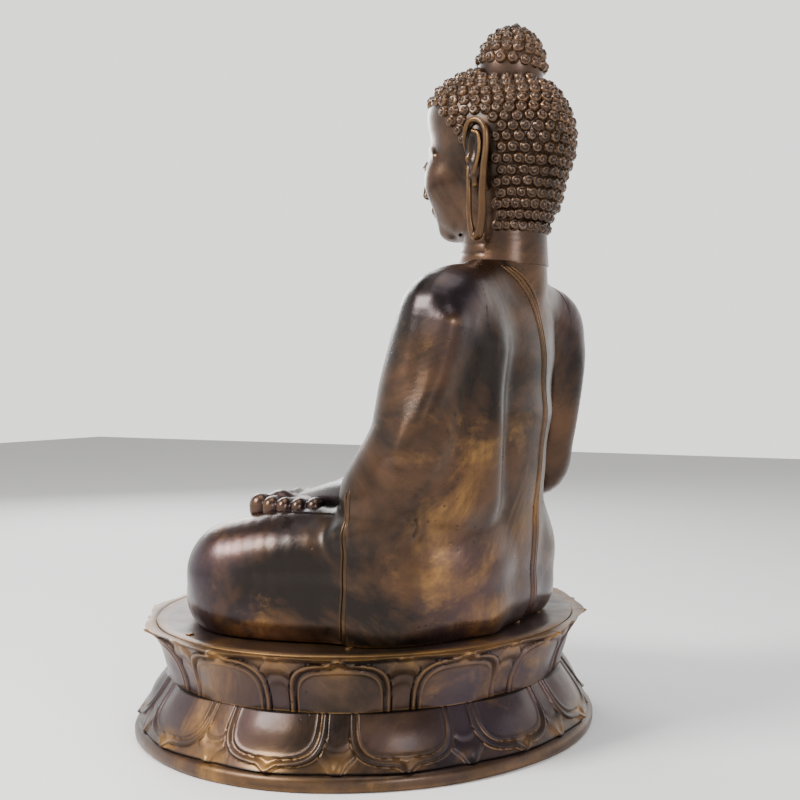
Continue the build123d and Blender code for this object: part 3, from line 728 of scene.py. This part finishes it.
def curl_mesh(rings=9, spokes=30, radius=8.8, height=6.4, turns=1.6):
    """One snail curl: a dome with a spiral ridge. Returns points and faces."""
    points = []
    for ring in range(rings + 1):
        share = ring / rings
        for spoke in range(spokes):
            angle = 2 * pi * spoke / spokes
            ridge = cos(2 * pi * turns * share + angle) * 0.75 * (1 if ring else 0)
            z = height * (1 - share**2) ** 0.62 + ridge * (1 - share**6)
            reach = radius * share
            points.append((reach * cos(angle), reach * sin(angle), z if ring < rings else -2.5))
    faces = []
    for ring in range(rings):
        for spoke in range(spokes):
            ahead = (spoke + 1) % spokes
            low, high = ring * spokes, (ring + 1) * spokes
            faces.append((low + spoke, high + spoke, high + ahead, low + ahead))
    faces.append(tuple(rings * spokes + spoke for spoke in reversed(range(spokes))))
    return np.array(points), faces


def grow_curls(name, spots, nodes):
    """A curl on every spot (place, outward direction, size, turn), joined in one object."""
    shape, shape_faces = curl_mesh()
    points, faces = [], []
    for place, outward, size, turn in spots:
        across = np.cross(outward, (0.3, 0.9, 0.2))
        across /= np.linalg.norm(across)
        other = np.cross(outward, across)
        c, s = cos(turn), sin(turn)
        axes = np.array((c * across + s * other, c * other - s * across, outward))
        start = sum(map(len, points))
        points.append(np.array(place) + (shape * size) @ axes)
        faces += [tuple(start + i for i in face) for face in shape_faces]
    obj = finish_mesh(name, np.vstack(points), faces, 75)
    closed = bmesh.new()
    closed.from_mesh(obj.data)
    bmesh.ops.remove_doubles(closed, verts=closed.verts, dist=1e-6)
    closed.to_mesh(obj.data)
    closed.free()
    show(obj, nodes, hair_bronze)


HAIRLINE = [  # (turn from the front in degrees, lowest height)
    (0, 890), (28, 888), (48, 872), (60, 850), (70, 828), (77, 822),
    (79, 856), (103, 856), (104, 708), (180, 704),
]


def hair_grows(place):
    """Hair stays above the brow and the ears, and behind them goes down to the nape."""
    turn = degrees(np.arctan2(abs(place[0]), HEAD_Y - place[1]))
    if place[2] > 900 and hypot(place[0], place[1] - TOPKNOT_BASE[1]) < TOPKNOT_RADIUS + 1:
        return False
    return place[2] > np.interp(turn, *zip(*HAIRLINE))


head_casting = bpy.data.objects["head_and_neck"]
# painted shade: the scalp is darkened wherever hair grows, the ground between the curls
mark(head_casting, "painted_shade", [hair_grows(vertex.co / MM) for vertex in head_casting.data.vertices])
scalp = BVHTree.FromObject(head_casting, bpy.context.evaluated_depsgraph_get())
dice = np.random.default_rng(7)
scalp_spots = []
ROW_STEP = CURL_PITCH * 0.87
UPRIGHT_ROWS = 9  # these stand straight out, and the rows above them lean in over the crown
CROWN_START = 8.5
CROWN_RADIUS = 98
HEAD_RADIUS = 90
STEEPEST = radians(84)
for row in range(26):
    lean = 0.0 if row < UPRIGHT_ROWS else (row - CROWN_START) * ROW_STEP / CROWN_RADIUS
    if lean > STEEPEST:
        break
    level = HEAD_Z - (CROWN_START - row) * ROW_STEP if row < UPRIGHT_ROWS else HEAD_Z
    ring = HEAD_RADIUS * cos(lean)
    count = max(1, round(2 * pi * ring / CURL_PITCH))
    for k in range(count):
        angle = 2 * pi * (k + 0.5 * (row % 2)) / count
        outward = Vector((sin(angle) * cos(lean), cos(angle) * cos(lean), sin(lean)))
        start = Vector((0, HEAD_Y, level)) + outward * 200
        hit, normal, _, _ = scalp.ray_cast(start * MM, -outward)
        if hit is not None and hair_grows(np.array(hit) / MM):
            size = 1 + dice.uniform(-0.05, 0.05)
            scalp_spots.append((np.array(hit) / MM, np.array(normal), size, dice.uniform(0, 6.28)))
grow_curls("head_snail_curls", scalp_spots, ["head_curls"])

topknot = Clay((-56, 166, 896), (56, 296, 1000), 1.3 * FINE)
topknot.add(ball(TOPKNOT_BASE, (TOPKNOT_RADIUS, TOPKNOT_RADIUS, TOPKNOT_RISE), (-TOPKNOT_TILT, 0, 0)))
topknot.keep(2, 912, 1)
show(cast("topknot_mound", topknot), ["topknot"], hair_bronze)

topknot_spots = []
TOPKNOT_ROWS = (9, 27, 44, 60, 75)  # degrees above its widest ring
tilt = Matrix.Rotation(radians(-TOPKNOT_TILT), 3, "X")
for row, lean in enumerate(TOPKNOT_ROWS):
    level, ring = sin(radians(lean)), cos(radians(lean))
    count = round(2 * pi * TOPKNOT_RADIUS * ring / CURL_PITCH)
    for k in range(count):
        angle = 2 * pi * (k + 0.5 * (row % 2)) / count
        x = sin(angle) * ring * TOPKNOT_RADIUS
        y = cos(angle) * ring * TOPKNOT_RADIUS
        spot = Vector((x, y, level * TOPKNOT_RISE))
        steep = spot.z / TOPKNOT_RISE**2
        outward = Vector((spot.x / TOPKNOT_RADIUS**2, spot.y / TOPKNOT_RADIUS**2, steep))
        place = TOPKNOT_BASE + np.array(tilt @ spot)
        outward = np.array(tilt @ outward.normalized())
        topknot_spots.append((place, outward, 1 + dice.uniform(-0.05, 0.05), dice.uniform(0, 6.28)))
grow_curls("topknot_snail_curls", topknot_spots, ["topknot_curls"])


def turned(name, profile, origin, axis, spokes=40):
    """A closed lathe-turned piece from (radius, height) points, on the axis at both ends."""
    route = smooth_route([(r, h) for r, h in profile], 5)
    up = np.array(axis)
    across = np.cross(up, (1.0, 0.0, 0.0))
    across /= np.linalg.norm(across)
    other = np.cross(up, across)
    points = [np.array(origin) + up * route[0][1]]
    for r, h in route[1:-1]:
        for k in range(spokes):
            a = 2 * pi * k / spokes
            points.append(np.array(origin) + up * h + max(r, 0.05) * (across * cos(a) + other * sin(a)))
    points.append(np.array(origin) + up * route[-1][1])
    faces = []
    for k in range(spokes):
        ahead = (k + 1) % spokes
        faces.append((0, 1 + ahead, 1 + k))
        for ring in range(len(route) - 3):
            low, high = 1 + ring * spokes, 1 + (ring + 1) * spokes
            faces.append((low + k, low + ahead, high + ahead, high + k))
        last = 1 + (len(route) - 3) * spokes
        faces.append((last + k, last + ahead, len(points) - 1))
    return finish_mesh(name, points, faces)


jewel = turned(
    "topknot_jewel",
    [(0, -3), (7.5, -2.5), (8.2, 1), (7.4, 4), (5, 7), (2, 9.2), (0, 10.4)],
    TOPKNOT_BASE + TOPKNOT_AXIS * TOPKNOT_RISE,
    TOPKNOT_AXIS,
)
show(jewel, ["topknot_finial"], hair_bronze)

# ---- foot and hands -----------------------------------------------------------------------
foot = Clay((-30, -90, LAP_TOP - 34), (240, 64, LAP_TOP + 30), 1.3 * FINE)
foot.add(ball((10, -14, 316), (27, 26, 17)), 6)
foot.add(ball((85, -12, 315), (80, 31, 16)), 12)
foot.add(ball((160, -12, 325), (46, 48, 16)), 12)
foot.add(ball((178, -38, 334), (22, 19, 16)), 8)
foot.cut(ball((80, -34, 346), (46, 22, 16)), 12)
TOES = [(-56, 217, 14.0), (-33, 221, 11.4), (-13, 219, 10.6), (7, 214, 10.4), (27, 206, 11.4)]
for toe_y, tip_x, radius in TOES:
    foot.add(rope([(176, toe_y * 0.94, 328, radius), (tip_x - 18, toe_y, 333, radius * 0.92),
                   (tip_x - radius, toe_y, 331, radius), (tip_x - radius, toe_y, 324, radius)]), 4)
show(cast("upturned_foot", foot, keen=2.5), ["right_foot"], skin_bronze)

FINGERS = (0, 1, 2, 3)
FINGERTIP_Z = (190, 180, 182, 194)  # the fingers of the right hand reach down
left_hand = Clay((-90, -166, LAP_TOP - 40), (232, 150, LAP_TOP + 60), 1.5 * FINE)
left_hand.add(rope([(200, 118, 350, 25), (168, 52, 343, 23), (140, 4, 334, 20), (108, -40, 326, 17)]), 4)
left_hand.add(ball((62, -68, 320), (50, 39, 12), (0, 0, 26)), 12)
left_hand.add(ball((82, -88, 322), (28, 17, 11), (0, 0, 26)), 10)
for k in FINGERS:
    aside = 27 - 18 * k
    root = np.array((32 - 0.44 * aside, -80 + 0.9 * aside, 321))
    bend = root + (-40, -19, 5)
    tip = root + (-74 + 5 * abs(k - 1.6), -37, -1)
    left_hand.add(rope([(*root, 9.6), (*bend, 9.0), (*tip, 7.6)]), 3)
left_hand.add(rope([(88, -94, 324, 11), (56, -114, 325, 9.6), (24, -120, 325, 8.2)]), 6)
left_cast = cast("left_forearm_and_hand", left_hand, keen=2.5)
show(left_cast, ["left_hand", "left_wrist_spigot"], skin_bronze)

right_hand = Clay((-292, -284, 170), (-178, -50, 392), 1.5 * FINE)
right_hand.add(rope([(-231, -66, 331, 23), (-233, -104, 330, 21), (-238, -150, 323, 24)]), 4)
right_hand.add(ball((-240, -196, 305), (35, 44, 19), (34, 0, 0)), 14)
for k in FINGERS:
    x = -266 + 17 * k
    tip_z = FINGERTIP_Z[k]
    right_hand.add(rope([(x * 0.985, -214, 295, 10.5), (x, -246, 268, 10.4),
                         (x + 2, -257, 232, 9.2), (x + 3, -254, tip_z, 7.6)]), 2.6)
right_hand.add(rope([(-212, -170, 310, 13), (-198, -206, 286, 11), (-194, -232, 256, 9)]), 6)
right_cast = cast("right_hand_to_earth", right_hand, keen=2.5)
show(right_cast, ["right_hand", "right_wrist_spigot"], skin_bronze)

# ---- pedestal -----------------------------------------------------------------------------
AROUND = 1500


class Oval:
    """An ellipse walked in even steps, with the outward direction at each."""

    def __init__(self, half_width, half_depth, count):
        fine = np.linspace(0, 2 * pi, 7201)
        x, y = half_width * np.cos(fine), half_depth * np.sin(fine)
        walked = np.concatenate([[0], np.cumsum(np.hypot(np.diff(x), np.diff(y)))])
        self.length = walked[-1]
        self.walk = np.arange(count) * self.length / count
        self.angle = np.interp(self.walk, walked, fine)
        outward = np.stack((np.cos(self.angle) / half_width, np.sin(self.angle) / half_depth))
        self.outward = outward / np.linalg.norm(outward, axis=0)
        self.half_width, self.half_depth = half_width, half_depth

    def level(self, inset, z, relief=0.0):
        """The oval's points, drawn in by an inset, at a height, pushed out by a relief."""
        x = (self.half_width - inset) * np.cos(self.angle) + self.outward[0] * relief
        y = (self.half_depth - inset) * np.sin(self.angle) + self.outward[1] * relief
        return np.stack((x, y, np.broadcast_to(z, x.shape)), axis=1)


def step(value, low, high):
    share = np.clip((value - low) / (high - low), 0, 1)
    return share * share * (3 - 2 * share)


def petal(walk, along, pitch, phase, half, boxy):
    """How far inside a petal's outline each spot lies, in mm, and how near its tip."""
    local = (walk - phase + pitch / 2) % pitch - pitch / 2
    shape = (np.abs(local) / half) ** boxy + (along / 0.9) ** boxy
    inside = (1 - shape ** (1 / boxy)) * half * 0.85
    inside = inside + 8 * np.exp(-((local / 10) ** 2)) * step(along, 0.7, 0.95)
    return inside, np.exp(-((local / 26) ** 2)) * step(along, 0.55, 0.95)


def petal_relief(inside, bulge):
    """A petal's surface: a doubled border around a crowned panel."""
    relief = 4.5 * step(inside, -0.6, 2.2)
    relief = relief + 1.5 * np.exp(-(((inside - 4) / 2.4) ** 2))
    relief = relief - 2.4 * np.exp(-(((inside - 9) / 1.8) ** 2))
    relief = relief + 1.0 * np.exp(-(((inside - 12.5) / 2.0) ** 2))
    return relief + bulge * step(inside, 8, 46)


def ring_of_rows(name, rows, rubbed):
    """A closed ring: rows of points around the oval, joined in order and back to the first."""
    count = len(rows[0])
    points = np.vstack(rows)
    faces = []
    for i in range(len(rows)):
        faces += band(i * count, (i + 1) % len(rows) * count, count)
    obj = finish_mesh(name, points, faces, 60)
    mark(obj, "rubbed", np.concatenate(rubbed))
    return obj


def lotus(name, nodes, oval, height_at, inset_at, phase, rim, rows=46):
    """One tier of petals. Both functions take the share of the way from the waist to the edge."""
    pitch = oval.length / PETALS
    outer, rubbed = [], []
    for along in np.linspace(0, 1, rows):
        main, tip = petal(oval.walk, along, pitch, phase, pitch * 0.42, 3.6)
        small, small_tip = petal(oval.walk, along, pitch, phase + pitch / 2, pitch * 0.2, 2.6)
        relief = petal_relief(main, 5.0 * sin(pi * min(along + 0.15, 1)) ** 0.5)
        under = petal_relief(small, 1.5) * 0.6
        relief = np.where(main > -0.6, np.maximum(relief, under * 0.4), under)
        wobble = 0.5 * np.sin(oval.walk / 23 + 5 * along) + 0.4 * np.sin(oval.walk / 61)
        edge = rim * step(along, 0.75, 1.0) * np.cos(2 * pi * (oval.walk - phase) / pitch)
        outer.append(oval.level(inset_at(along), height_at(along), relief + wobble + edge))
        rubbed.append(np.maximum(tip, 0.7 * small_tip))
    inner = []
    for along in np.linspace(1, 0, 6):
        inner.append(oval.level(inset_at(along) + PETAL_THICKNESS, height_at(along)))
        rubbed.append(np.zeros(len(oval.walk)))
    obj = ring_of_rows(name, outer + inner, rubbed)
    show(obj, nodes, pedestal_bronze)


PETALS = 12
PETAL_THICKNESS = 12
BASE_HALF = (PLINTH_HIGH - PLINTH_LOW)[:2] / 2
PLINTH_TOP = PLINTH_HIGH[2]
base_oval = Oval(BASE_HALF[0], BASE_HALF[1], AROUND)

PLINTH_PROFILE = [  # (inset, height)
    (27, 0), (4, 0), (1, 2.5), (0, 7), (0.3, 12),
    (2, 16), (5, 18.6), (8, 20), (14, PLINTH_TOP), (27, PLINTH_TOP),
]
plinth_rows = []
for inset, z in PLINTH_PROFILE:
    worn_edge = 0.7 * np.sin(base_oval.walk / 37) + 0.5 * np.sin(base_oval.walk / 90 + 1)
    plinth_rows.append(base_oval.level(inset, z, worn_edge * (0 < inset < 10) - 0.8))
plinth = ring_of_rows("plinth_ring", plinth_rows, [np.zeros(AROUND)] * len(plinth_rows))
show(plinth, ["base_plinth"], pedestal_bronze)


def lower_height(along):
    return WAIST_Z - (WAIST_Z - PLINTH_TOP) * along


def lower_inset(along):
    return 52 - 44 * along


def upper_height(along):
    return WAIST_Z + (DECK_TOP - WAIST_Z) * along


def upper_inset(along):
    return 17 + 33 * (1 - along**1.6) + 6 * step(1 - along, 0.02, 0.12)


lotus("lower_lotus_petals", ["lower_lotus"], base_oval, lower_height, lower_inset, 240, 2.0)
lotus("upper_lotus_petals", ["upper_lotus"], base_oval, upper_height, upper_inset, 332, 4.0)

DECK_PROFILE = [  # (inset, height above the deck)
    (40, -8), (32, -1), (33, 0.5), (50, 0), (90, 0), (150, 0), (150, -8),
]
deck_rows = [base_oval.level(inset, DECK_TOP + rise) for inset, rise in DECK_PROFILE]
deck = ring_of_rows("seat_plate", deck_rows, [np.zeros(AROUND)] * len(deck_rows))
show(deck, ["seat_deck"], pedestal_bronze)

# ---- the CAD pieces that stay ------------------------------------------------------------
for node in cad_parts.values():
    node.data.materials.clear()
    node.data.materials.append(joint_bronze if "spigot" in node.name else pedestal_bronze)

# ---- floor, light and camera --------------------------------------------------------------
FLOOR = 6000
FLOOR_CORNERS = [(-FLOOR, -FLOOR, 0), (FLOOR, -FLOOR, 0), (FLOOR, FLOOR, 0), (-FLOOR, FLOOR, 0)]
floor = finish_mesh("floor", FLOOR_CORNERS, [(0, 1, 2, 3)])
paper = Nodes("paper")
paper.link(paper.mix(paper.noise(3.0), (0.90, 0.90, 0.90), (0.92, 0.92, 0.92)), "Base Color")
paper.shader.inputs["Roughness"].default_value = 0.9
floor.data.materials.append(paper.material)

AIM = Vector((-0.0232, 0.0401, 0.471))
CAMERA_PLACE = Vector((1.585, 0.915, 0.510))
camera = bpy.data.objects.new("camera", bpy.data.cameras.new("camera"))
camera.data.lens = 55.1
camera.location = CAMERA_PLACE
camera.rotation_euler = (AIM - CAMERA_PLACE).to_track_quat("-Z", "Y").to_euler()
bpy.context.collection.objects.link(camera)
bpy.context.scene.camera = camera


def soft_light(name, place, size, power, colour=(1, 1, 1)):
    """A square studio light that looks at the figure's chest."""
    light = bpy.data.objects.new(name, bpy.data.lights.new(name, "AREA"))
    light.data.size = size
    light.data.energy = power
    light.data.color = colour
    light.location = place
    light.rotation_euler = (Vector((0, 0.05, 0.5)) - Vector(place)).to_track_quat("-Z", "Y").to_euler()
    bpy.context.collection.objects.link(light)


soft_light("key_light", (1.9, -1.0, 2.3), 0.9, 130, (1, 0.97, 0.93))
soft_light("fill_light", (1.6, 2.4, 1.5), 0.8, 32, (0.93, 0.93, 1))
soft_light("front_light", (-1.8, -2.2, 1.8), 1.6, 60)
soft_light("top_light", (0, 0.2, 3.0), 2.0, 40)
world = bpy.data.worlds.new("world")
world.use_nodes = True
sky = world.node_tree
backdrop = sky.nodes["Background"]
backdrop.inputs["Color"].default_value = (1.0, 0.985, 0.965, 1)
direction = sky.nodes.new("ShaderNodeTexCoord").outputs["Generated"]
height = sky.nodes.new("ShaderNodeSeparateXYZ")
sky.links.new(direction, height.inputs[0])
fade = sky.nodes.new("ShaderNodeMapRange")  # a bright wall all round under a darker ceiling
fade.interpolation_type = "SMOOTHSTEP"
for key, value in (("From Min", 0.25), ("From Max", 0.7), ("To Min", 1.7), ("To Max", 0.15)):
    fade.inputs[key].default_value = value
sky.links.new(height.outputs[2], fade.inputs[0])
sky.links.new(fade.outputs[0], backdrop.inputs["Strength"])
bpy.context.scene.world = world
